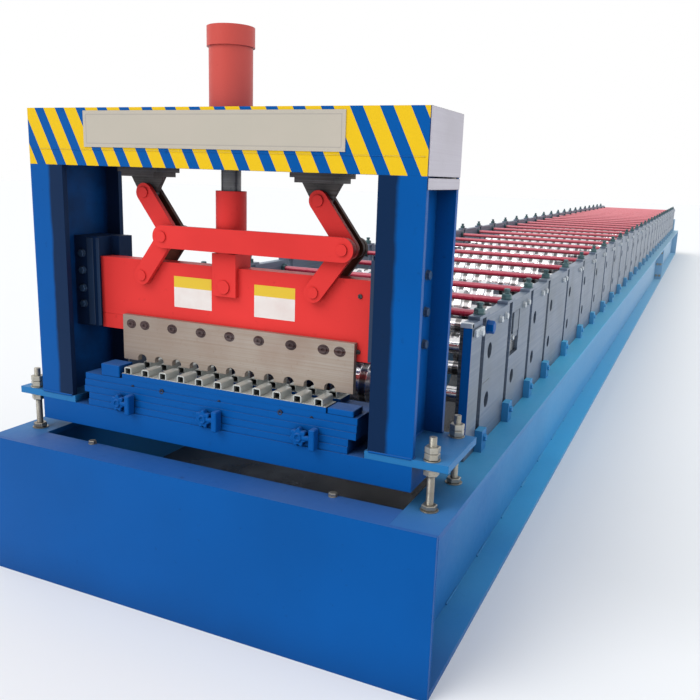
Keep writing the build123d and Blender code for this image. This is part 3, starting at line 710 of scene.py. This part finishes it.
# The guide rails are bolted to the webs of the posts and carry worn and painted wearing strips.
# Four bolts with washers hold the front cap of the guide, and three pass through the web.
GUIDE_SPAN = (0.925, 1.24)
guide_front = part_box("guide_rails")[0].y
strips = [
    slab((x0, guide_front - proud, GUIDE_SPAN[0]), (x1, guide_front, GUIDE_SPAN[1]), edge)
    for x0, x1, proud, edge in ((0.554, 0.582, 0.003, 0.001), (0.526, 0.54, 0.0015, 0.0005))
]
strip_blue = finish(
    "worn_strip",
    enamel,
    {"Paint": (0.02, 0.05, 0.12, 1), "Grime and shade": (0.01, 0.012, 0.02, 1), "Cloudiness": 0.5, "Dust": 0.1},
    0.2,
    shine=0.3,
)
fitted("guide_strips", both_sides(joined(*strips)), strip_blue, "frame")
cap_bolt = facing_front(hex_bolt(*M16_HEAD, "y"))
cap_bolts = placed(cap_bolt, [(0.604, guide_front, z) for z in (1.183, 1.122, 1.057, 1.0)])
web_spots = [(WEB_FACE, guide_front + 0.119, z) for z in (1.195, 1.08, 0.977)]
web_bolts = placed(hex_bolt(0.026, 0.014, "x"), web_spots)
bolt_blue = finish(
    "chipped_bolt_blue",
    enamel,
    {"Paint": (0.03, 0.09, 0.2, 1), "Grime and shade": (0.01, 0.012, 0.02, 1), "Cloudiness": 0.6, "Dust": 0.2},
    0.2,
)
fitted("guide_bolts", both_sides(joined(cap_bolts, web_bolts)), bolt_blue, "frame")


# The top beam carries slanting yellow bars, painted over the blue with a masked edge.
# Its front is two plates, welded along a seam under the sign.
STRIPE_PITCH = 0.0905
STRIPE_SHARE = 0.56
STRIPE_SLANT = 0.49
STRIPE_START = 0.379
STRIPE_LEVEL = 1.49


def striped_material():
    """Yellow bars on the front face of the beam: a slanted repeat along X, kept to what faces out."""
    material = machine_blue.copy()
    material.name = "beam_blue_and_yellow"
    tree, base_colour, paint = colour_feed(material)
    part = place_parts(tree)[1]
    drop = maths(tree, "MULTIPLY", maths(tree, "SUBTRACT", part[2], STRIPE_LEVEL), STRIPE_SLANT)
    across = maths(tree, "ADD", maths(tree, "ADD", part[0], drop), STRIPE_START)
    turns = maths(tree, "FRACT", maths(tree, "DIVIDE", across, STRIPE_PITCH))
    bar = maths(tree, "LESS_THAN", turns, STRIPE_SHARE)
    outward = maths(tree, "LESS_THAN", facing_parts(tree)[1], -0.5)
    mask = maths(tree, "MULTIPLY", bar, outward)
    wire(tree, blend_colours(tree, mask, paint, (0.8, 0.51, 0.005, 1)), base_colour)
    return material


beam_stripes = striped_material()
paint_node("shear_top_beam", beam_stripes)
SEAM_HEIGHT = 1.541
beam_low, beam_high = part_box("shear_top_beam")
seam_ends = [(x, beam_low.y + 0.0005, SEAM_HEIGHT) for x in (beam_low.x + 0.01, beam_high.x - 0.01)]
fitted("beam_seam_weld", bead(*seam_ends, 0.0022), beam_stripes, "frame", True)


# Cover plates close the ends of the top beam, with a ledge of the same steel below; their pale lilac steel
# is a painted highlight of the brightly lit ends.
# Two bolts hang by their nuts under the beam beside each post.
cover_painted_highlight = finish(
    "cover_painted_highlight",
    ground,
    {"Steel": (0.5, 0.47, 0.53, 1), "Stain": (0.42, 0.4, 0.42, 1), "Stains": 0.3, "Polish": 0.4},
    0.15,
    metallic=0.25,
    reach=0.05,
)
cover_x = beam_high.x + 0.004
covers = [
    slab((beam_high.x, beam_low.y + inset, z0), (cover_x, beam_high.y - inset, z1))
    for inset, z0, z1 in ((0.002, beam_low.z, beam_high.z), (0.004, beam_low.z - 0.036, beam_low.z - 0.004))
]
fitted("beam_end_covers", both_sides(joined(*covers)), cover_painted_highlight, "frame")
hanging_nut = turned([(0.011, -0.03), (0.011, -0.018), (0.017, -0.018), (0.017, 0.0)], "z", 6)
nut_spots = [(x, posts_high.y - 0.036, beam_low.z) for x in (0.681, 0.708)]
fitted("beam_nuts", both_sides(placed(hanging_nut, nut_spots)), zinc, "frame")


# The sign is a thin pressed plate with a rolled border line, fixed flat on the front of the beam.
# Its enamel has dulled to a warm grey.
def sign_material():
    """Dull pale enamel with a fine darker line set in from the border by 12 mm."""
    material, tree, skin = new_material("sign_enamel")
    place, part = place_parts(tree)
    low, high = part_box("sign_plate")
    sides = []
    for axis in (0, 2):
        middle = maths(tree, "SUBTRACT", part[axis], (low[axis] + high[axis]) / 2)
        sides.append(maths(tree, "SUBTRACT", (high[axis] - low[axis]) / 2, maths(tree, "ABSOLUTE", middle)))
    edge = maths(tree, "MINIMUM", *sides)
    off_line = maths(tree, "ABSOLUTE", maths(tree, "SUBTRACT", edge, 0.012))
    line = stretch(tree, off_line, 0.001, 0.002, 0.55, 0.0)
    haze = cloud(tree, place, 5.0, 4.0)
    dull = stretch(tree, haze, 0.3, 0.75, 0.0, 0.6)
    colour = blend_colours(tree, dull, (0.49, 0.44, 0.37, 1), (0.44, 0.41, 0.34, 1))
    wire(tree, blend_colours(tree, line, colour, (0.3, 0.27, 0.25, 1)), skin.inputs["Base Color"])
    wire(tree, maths(tree, "ADD", maths(tree, "MULTIPLY", haze, 0.2), 0.35), skin.inputs["Roughness"])
    return material


paint_node("sign_plate", sign_material())


# Four threaded rods with heavy nuts and washers let the frame be levelled on the base.
# They are zinc plated with a yellow tinge, browned by handling.
ROD_RADIUS = 0.012
HEAVY_NUT_WIDTH = 0.042
rods_low, rods_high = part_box("levelling_rods")
rod_x = rods_high.x - ROD_RADIUS
rod_spots = [(rod_x, y, 0) for y in (rods_low.y + ROD_RADIUS, rods_high.y - ROD_RADIUS)]
stud_bar = threaded(ROD_RADIUS, rods_low.z, rods_high.z, 0.003, 16)
rods = fitted("levelling_studs", both_sides(placed(stud_bar, rod_spots)), zinc, "frame", True)
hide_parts("levelling_rods")


def heavy_nut(z, height):
    """A hexagon nut with both its edges cut back to cones, standing at a height."""
    corner = HEAVY_NUT_WIDTH / math.sqrt(3)
    rows = [(corner * 0.9, 0), (corner, 0.002), (corner, height - 0.002), (corner * 0.9, height)]
    return moved(turned(rows, "z", 6, HEX_TURN), (0, 0, z))


def washer(z, radius, height=0.003):
    """A flat washer standing at a height."""
    return moved(turned([(radius, 0), (radius, height)], "z", 24), (0, 0, z))


stack = joined(
    washer(foot_high.z, 0.026),
    heavy_nut(foot_high.z + 0.003, 0.02),
    heavy_nut(foot_high.z + 0.0235, 0.02),
    heavy_nut(foot_low.z - 0.0225, 0.02),
    washer(foot_low.z - 0.0025, 0.026, 0.0025),
    washer(deck, 0.028),
    heavy_nut(deck + 0.003, 0.016),
)
nuts = fitted("levelling_nut_stacks", both_sides(placed(stack, rod_spots)), zinc, "frame")
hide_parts("levelling_nuts")


# The cylinder is a red barrel on the beam, with its rod running down through the beam to the ram.
# The rod is polished, and painted dark as the shade it stands in.
signal_red = finish(
    "signal_red",
    enamel,
    {"Paint": (0.8, 0.048, 0.045, 1), "Grime and shade": (0.3, 0.012, 0.012, 1), "Cloudiness": 0.25, "Dust": 0.06},
    0.1,
    shine=0.25,
    tint=(1, 0.3, 0.25, 1),
)
barrel_red = finish(
    "barrel_red",
    enamel,
    {"Paint": (0.62, 0.075, 0.055, 1), "Grime and shade": (0.3, 0.012, 0.012, 1), "Cloudiness": 0.2, "Dust": 0.06},
    0.1,
    shine=0.4,
)
# Painted shade: the polished rod is given dark steel.
dark_rod_painted_shade = finish(
    "dark_rod_painted_shade",
    ground,
    {"Steel": (0.12, 0.12, 0.13, 1), "Stain": (0.04, 0.035, 0.03, 1), "Stains": 0.5, "Polish": 0.2},
    0.1,
    metallic=0.7,
    reach=0.1,
)
paint_node("cylinder_barrel", barrel_red)
paint_node("piston_rod", dark_rod_painted_shade)


# The toggle links are pairs of flame-cut plates on turned pins. The front ones are red like the ram,
# and the rear ones, the lugs and the pins' far ends are dark brown.
def link_material():
    """Signal red in front of the middle of the frame and dark brown behind it."""
    material = signal_red.copy()
    material.name = "red_and_dark_brown"
    tree, base_colour, paint = colour_feed(material)
    place, part = place_parts(tree)
    mottle = stretch(tree, cloud(tree, place, 16.0, 4.0), 0.4, 0.7)
    brown = blend_colours(tree, mottle, (0.02, 0.009, 0.006, 1), (0.09, 0.03, 0.02, 1))
    middle = (posts_low.y + posts_high.y) / 2
    behind = stretch(tree, part[1], middle - 0.004, middle + 0.004)
    wire(tree, blend_colours(tree, behind, paint, brown), base_colour)
    return material


link_red = link_material()
paint_node("upper_link_left upper_link_right lower_link_left lower_link_right connecting_bar", link_red)
paint_node("clevis_pin toggle_top_pins", link_red)
paint_node("knee_pin_left knee_pin_right bottom_pin_left bottom_pin_right", link_red)
lug_brown = finish(
    "dark_brown_lug",
    ground,
    {"Steel": (0.035, 0.02, 0.016, 1), "Stain": (0.012, 0.008, 0.008, 1), "Stains": 0.6, "Polish": 0.35},
    0.3,
    metallic=0.3,
    reach=0.1,
)
paint_node("toggle_lugs", lug_brown)


# The ram is one heavy red plate. Two plain labels are stuck on it, pale with a yellow band along the top,
# and two black socket screws stand at its right end. A fine seam of weld runs to its left end.
paint_node("ram_beam ram_clevis ram_sleeve", signal_red)
ram_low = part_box("ram_beam")[0]
BAND_HEIGHT = 1.093
LABELS = ((-0.213, 1.024, -0.059, 1.131), (0.108, 1.022, 0.26, 1.129))


def label_material():
    """Dull white film, yellow above the foot of the band."""
    material, tree, skin = new_material("plain_label")
    place, part = place_parts(tree)
    haze = cloud(tree, place, 12.0, 4.0)
    dull = stretch(tree, haze, 0.35, 0.7)
    pale = blend_colours(tree, dull, (0.82, 0.77, 0.73, 1), (0.74, 0.64, 0.6, 1))
    band = maths(tree, "GREATER_THAN", part[2], BAND_HEIGHT)
    wire(tree, blend_colours(tree, band, pale, (0.75, 0.5, 0.02, 1)), skin.inputs["Base Color"])
    wire(tree, maths(tree, "ADD", maths(tree, "MULTIPLY", haze, 0.2), 0.3), skin.inputs["Roughness"])
    return material


labels = [slab((x0, ram_low.y - 0.0004, z0), (x1, ram_low.y, z1), 0.00015) for x0, z0, x1, z1 in LABELS]
fitted("ram_labels", joined(*labels), label_material(), "ram")
black_screw = finish(
    "black_screw",
    ground,
    {"Steel": (0.012, 0.012, 0.014, 1), "Stain": (0.02, 0.01, 0.008, 1), "Stains": 0.5, "Polish": 0.4},
    0.2,
    metallic=0.3,
    reach=0.03,
)
recess_rows = ((0.0, -0.001), (0.0035, -0.001), (0.004, -0.004))
head_rows = ((0.0065, -0.0045), (0.0075, -0.003), (0.0075, 0))
socket_screw = turned(recess_rows + head_rows, "y", 20)
ram_screws = placed(socket_screw, [(0.487, ram_low.y, z) for z in (1.125, 0.95)])
fitted("ram_screws", ram_screws, black_screw, "ram")
ram_seam = bead((ram_low.x + 0.002, ram_low.y, 0.972), (-0.43, ram_low.y, 0.972), 0.0014)
fitted("ram_seam_weld", ram_seam, signal_red, "ram", True)


# The blade is a ground plate of tool steel, bolted to the ram, with a round-topped notch over each rib.
# The screws sit in counterbores, where the browning has run to rust.
def outlined(outline, y0, y1):
    """A plate from an outline of (x, z) corners that runs clockwise as seen from -Y, between two depths."""
    outline = np.asarray(outline, float)
    ring = np.stack([outline[:, 0], np.zeros(len(outline)), outline[:, 1]], -1)
    return ringed(np.stack([ring + (0, y0, 0), ring + (0, y1, 0)]))


def arch(x, half, spring, crown, steps=9):
    """The corners of a notch from right to left: straight sides, and half an ellipse over them."""
    angle = np.linspace(0, np.pi, steps)
    return np.stack([x + half * np.cos(angle), spring + (crown - spring) * np.sin(angle)], -1)


blade_steel = finish(
    "blade_steel",
    ground,
    {"Steel": (0.34, 0.27, 0.215, 1), "Stain": (0.24, 0.13, 0.085, 1), "Stains": 0.4, "Polish": 0.4},
    0.3,
    metallic=0.2,
    reach=0.05,
)
tree, base_colour, steel = colour_feed(blade_steel)
leftward = stretch(tree, place_parts(tree)[1][0], -0.45, 0.1, 0.4, 0.0)
wire(tree, blend_colours(tree, leftward, steel, (0.15, 0.1, 0.08, 1)), base_colour)
NOTCH_HALF = 0.019
NOTCH_ARCH = 0.015
blade_low, blade_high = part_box("upper_blade")
points = np.array([v.co for v in nodes["upper_blade"].data.vertices])
crowns = points[(points[:, 2] > blade_low.z + 0.01) & (points[:, 2] < blade_high.z - 0.01)]
corner_x = np.unique(np.round(crowns[:, 0], 4))
ribs = (corner_x[::2] + corner_x[1::2]) / 2
crown_z = crowns[:, 2].max()
blade_outline = [(blade_low.x, blade_high.z), (blade_high.x, blade_high.z), (blade_high.x, blade_low.z)]
for x in ribs[::-1]:
    notch_top = arch(x, NOTCH_HALF, crown_z - NOTCH_ARCH, crown_z + 0.001)
    blade_outline += [(x + NOTCH_HALF, blade_low.z), *notch_top, (x - NOTCH_HALF, blade_low.z)]
blade_outline.append((blade_low.x, blade_low.z))
blade_shape = outlined(blade_outline, blade_low.y, blade_high.y)
blade = fitted("notched_blade", blade_shape, blade_steel, "ram")
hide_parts("upper_blade")
rusty = finish(
    "rusty_screw",
    ground,
    {"Steel": (0.045, 0.012, 0.01, 1), "Stain": (0.016, 0.005, 0.005, 1), "Stains": 0.6, "Polish": 0.6},
    0.3,
    shine=0.2,
    reach=0.03,
)
SCREW_HEIGHT = 0.948
SCREW_STRETCH = 1.25
screw_x = (-0.387, -0.328, -0.210, -0.091, 0.024, 0.138, 0.258, 0.375, 0.432)
deep_recess = ((0.0, -0.0012), (0.0042, -0.0012), (0.0048, -0.0045))
broad_head = ((0.0095, -0.005), (0.0105, -0.004), (0.0105, 0))
bore_rim = ((0.011, -0.0008), (0.0155, -0.001), (0.0165, 0))
round_screw = joined(turned(deep_recess + broad_head, "y", 24), turned(bore_rim, "y", 24))
blade_screw = (round_screw[0] * np.array([SCREW_STRETCH, 1, 1]), *round_screw[1:])
blade_screws = placed(blade_screw, [(x, blade_low.y, SCREW_HEIGHT) for x in screw_x])
fitted("blade_screws", blade_screws, rusty, "ram")


# The dies are the same steel as the blade.
# Each rib is bent round over the top, and it is hollow at the front. The bars under them are painted.
die_steel = finish(
    "die_steel",
    ground,
    {"Steel": (0.48, 0.5, 0.47, 1), "Stain": (0.2, 0.2, 0.18, 1), "Stains": 0.3, "Polish": 0.3},
    0.2,
    metallic=0.45,
    reach=0.04,
)
DIE_FACE = 0.787
DIE_SKIN = 0.0015
DIE_DEPTH = 0.073
HOLLOW_DEPTH = 0.060
RIB_HALF = 0.015
RIB_WALL = 0.004
dies_low, dies_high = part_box("lower_dies")


def rib_outline(x, half, top, corner):
    """The outside of a rib, left to right over the top, with round shoulders."""
    angle = np.linspace(0, np.pi / 2, 5)
    left = np.stack([x - half + corner - corner * np.cos(angle), top - corner + corner * np.sin(angle)], -1)
    right = left[::-1] * np.array([-1, 1]) + np.array([2 * x, 0])
    return np.concatenate([[(x - half, DIE_FACE)], left, right, [(x + half, DIE_FACE)]])


die_parts = []
die_bars = []
bar_top_z = DIE_FACE - DIE_SKIN
for y0 in (dies_low.y, dies_high.y - DIE_DEPTH):
    y1 = y0 + DIE_DEPTH
    hollow_back = y0 + HOLLOW_DEPTH
    die_bars.append(slab((dies_low.x, y0, dies_low.z), (dies_high.x, y1, bar_top_z), 0.0005))
    die_parts.append(slab((dies_low.x, y0 + 0.001, bar_top_z), (dies_high.x, y1, DIE_FACE), 0.0003))
    for x in ribs:
        outside = rib_outline(x, RIB_HALF, dies_high.z, 0.006)
        inside = rib_outline(x, RIB_HALF - RIB_WALL, dies_high.z - RIB_WALL, 0.003)
        die_parts.append(outlined(np.concatenate([outside, inside[::-1]]), y0, hollow_back))
        die_parts.append(outlined(outside, hollow_back, y1))
dies = fitted("ribbed_dies", joined(*die_parts), die_steel, "frame")
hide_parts("lower_dies")
fitted("painted_die_bars", joined(*die_bars), machine_blue, "frame")
LEFT_STOP_TOP = 0.81
stops_low, stops_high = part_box("die_end_blocks")
left_end = (dies_low.x - 0.012, stops_high.y, LEFT_STOP_TOP)
left_stop = slab((stops_low.x, stops_low.y, dies_low.z), left_end, 0.002)
right_end = (stops_high.x, stops_high.y, DIE_FACE)
right_stop = slab((dies_high.x + 0.005, stops_low.y, dies_low.z), right_end, 0.002)
stops = fitted("die_stops", joined(left_stop, right_stop), machine_blue, "frame")
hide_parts("die_end_blocks")


# Screws along the top bar of the holder clamp the dies, and a star knob tightens each clamp.
# The knobs are machine blue like the holder, and the screws are a darker blue with black recesses.
BAR_SCREW_HEIGHT = 0.745
small_rows = ((0.0, -0.0008), (0.0022, -0.0008), (0.0026, -0.003), (0.0052, -0.0035), (0.0058, 0))
large_rows = ((0.0, -0.0008), (0.0035, -0.0008), (0.004, -0.004), (0.0085, -0.0045), (0.0095, 0))
bar_screws = [
    placed(turned(rows, "y", sides), [(x, dies_low.y, BAR_SCREW_HEIGHT) for x in spots])
    for rows, sides, spots in ((small_rows, 16, (-0.322, 0.035, 0.379)), (large_rows, 18, (-0.197, 0.267)))
]
navy_screw = finish(
    "navy_screw",
    enamel,
    {"Paint": (0.004, 0.012, 0.05, 1), "Grime and shade": (0.003, 0.004, 0.008, 1), "Cloudiness": 0.6, "Dust": 0.05},
    0.2,
    reach=0.03,
)
fitted("holder_screws", joined(*bar_screws), navy_screw, "frame")


def star_knob(radius, depth, lobes=7):
    """A knob facing -Y: its rim swells and sinks as a cosine with each lobe, round a dished hub."""
    angle = np.linspace(0, 2 * np.pi, lobes * 8, endpoint=False)
    rim = 0.88 + 0.12 * np.cos(lobes * angle)
    hub_rows = ((0.2, 0.004), (0.3, 0.0), (0.42, 0.0), (0.5, 0.005))
    rim_rows = ((0.9, 0.005), (1, 0.008), (1, depth))
    rings = []
    for rows, outline in ((hub_rows, 1.0), (rim_rows, rim)):
        for share, y in rows:
            size = radius * share * outline
            rings.append(np.stack([size * np.sin(angle), 0 * angle + y, size * np.cos(angle)], -1))
    return ringed(np.stack(rings))


KNOB_RADIUS = 0.031
KNOB_DEPTH = 0.022
CLAMP_PITCH = 0.358
CLAMP_BAR_OFFSET = 0.055
clamps_low, clamps_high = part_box("die_clamps")
clamp_back = clamps_high.y
knob_x = [clamps_low.x + KNOB_RADIUS + n * CLAMP_PITCH for n in range(3)]
knob_z = clamps_low.z + KNOB_RADIUS
knob = star_knob(KNOB_RADIUS, KNOB_DEPTH)
neck = turned([(0.009, 0), (0.009, 0.046)], "x", 16)
clamp_parts = [placed(knob, [(x, clamp_back - KNOB_DEPTH, knob_z) for x in knob_x])]
for x in knob_x:
    bar_x = x + CLAMP_BAR_OFFSET
    bar_low = (bar_x - 0.01, clamps_low.y, clamps_low.z)
    clamp_parts.append(slab(bar_low, (bar_x + 0.01, clamp_back, clamps_high.z), 0.003))
clamp_parts.append(placed(neck, [(x, clamp_back - 0.011, knob_z) for x in knob_x]))
clamps = fitted("knob_clamps", joined(*clamp_parts), machine_blue, "frame")
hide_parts("die_clamps")


# The photograph's view: a camera at head height to the right of the machine's exit end.
# The floor is plain and pale, under a soft lamp and an even sky that is brighter to the right.
def rotation(yaw, pitch, roll):
    """The camera's own axes as columns, from its turn, its dip and its lean in degrees."""
    yaw, pitch, roll = (math.radians(a) for a in (yaw, pitch, roll))
    ahead = np.array([-math.sin(yaw), math.cos(yaw), 0])
    right = np.array([math.cos(yaw), math.sin(yaw), 0])
    up = np.array([0, 0, 1.0])
    forward = math.cos(pitch) * ahead - math.sin(pitch) * up
    above = math.sin(pitch) * ahead + math.cos(pitch) * up
    x = math.cos(roll) * right + math.sin(roll) * above
    y = -math.sin(roll) * right + math.cos(roll) * above
    return np.stack([x, y, -forward], 1)


camera_data = bpy.data.cameras.new("photo_camera")
camera_data.lens = 39.63
camera_data.sensor_width = 36
camera_data.clip_end = 200
camera = bpy.data.objects.new("photo_camera", camera_data)
bpy.context.scene.collection.objects.link(camera)
camera_turn = Matrix(rotation(24.290, 12.756, 1.894).tolist()).to_4x4()
camera.matrix_world = Matrix.Translation((1.4264, front - 1.8893, 1.4859)) @ camera_turn
bpy.context.scene.camera = camera

FLOOR_HALF = 60.0
floor_points = FLOOR_HALF * np.array([(-1, -1, 0), (1, -1, 0), (1, 1, 0), (-1, 1, 0)], float)
floor = make_mesh("floor", (floor_points, np.arange(4), np.array([4])))
floor_paint, tree, skin = new_material("pale_floor")
skin.inputs["Base Color"].default_value = (0.86, 0.86, 0.86, 1)
skin.inputs["Roughness"].default_value = 0.9
floor.data.materials.append(floor_paint)

sun = bpy.data.lights.new("window_light", "SUN")
sun.energy = 1.6
sun.angle = math.radians(40)
sun.color = (1.0, 0.99, 0.97)
sun_piece = bpy.data.objects.new("window_light", sun)
bpy.context.scene.collection.objects.link(sun_piece)
sun_piece.matrix_world = Vector((-0.42, -0.6, 0.68)).to_track_quat("Z", "Y").to_matrix().to_4x4()

sky = bpy.data.worlds.new("sky")
sky.use_nodes = True
tree = sky.node_tree
sky_light = tree.nodes["Background"]
sky_light.inputs["Color"].default_value = (0.93, 0.96, 1.0, 1)
way = tree.nodes.new("ShaderNodeSeparateXYZ")
wire(tree, tree.nodes.new("ShaderNodeTexCoord").outputs["Generated"], way.inputs[0])
from_right = stretch(tree, way.outputs[0], 0.0, 0.9, 0.5, 1.0)
from_above = stretch(tree, way.outputs[2], 0.2, 1.0, 0.0, 0.4)
wire(tree, maths(tree, "ADD", from_right, from_above), sky_light.inputs["Strength"])
white = tree.nodes.new("ShaderNodeBackground")
white.inputs["Color"].default_value = (1, 1, 1, 1)
white.inputs["Strength"].default_value = 1.0
ray = tree.nodes.new("ShaderNodeLightPath")
seen = maths(tree, "MAXIMUM", ray.outputs["Is Camera Ray"], ray.outputs["Is Glossy Ray"])
seen = maths(tree, "MAXIMUM", seen, ray.outputs["Is Transmission Ray"])
pick = tree.nodes.new("ShaderNodeMixShader")
wire(tree, seen, pick.inputs[0])
wire(tree, sky_light.outputs[0], pick.inputs[1])
wire(tree, white.outputs[0], pick.inputs[2])
wire(tree, pick.outputs[0], tree.nodes["World Output"].inputs[0])
bpy.context.scene.world = sky
bpy.context.scene.view_settings.view_transform = "Standard"
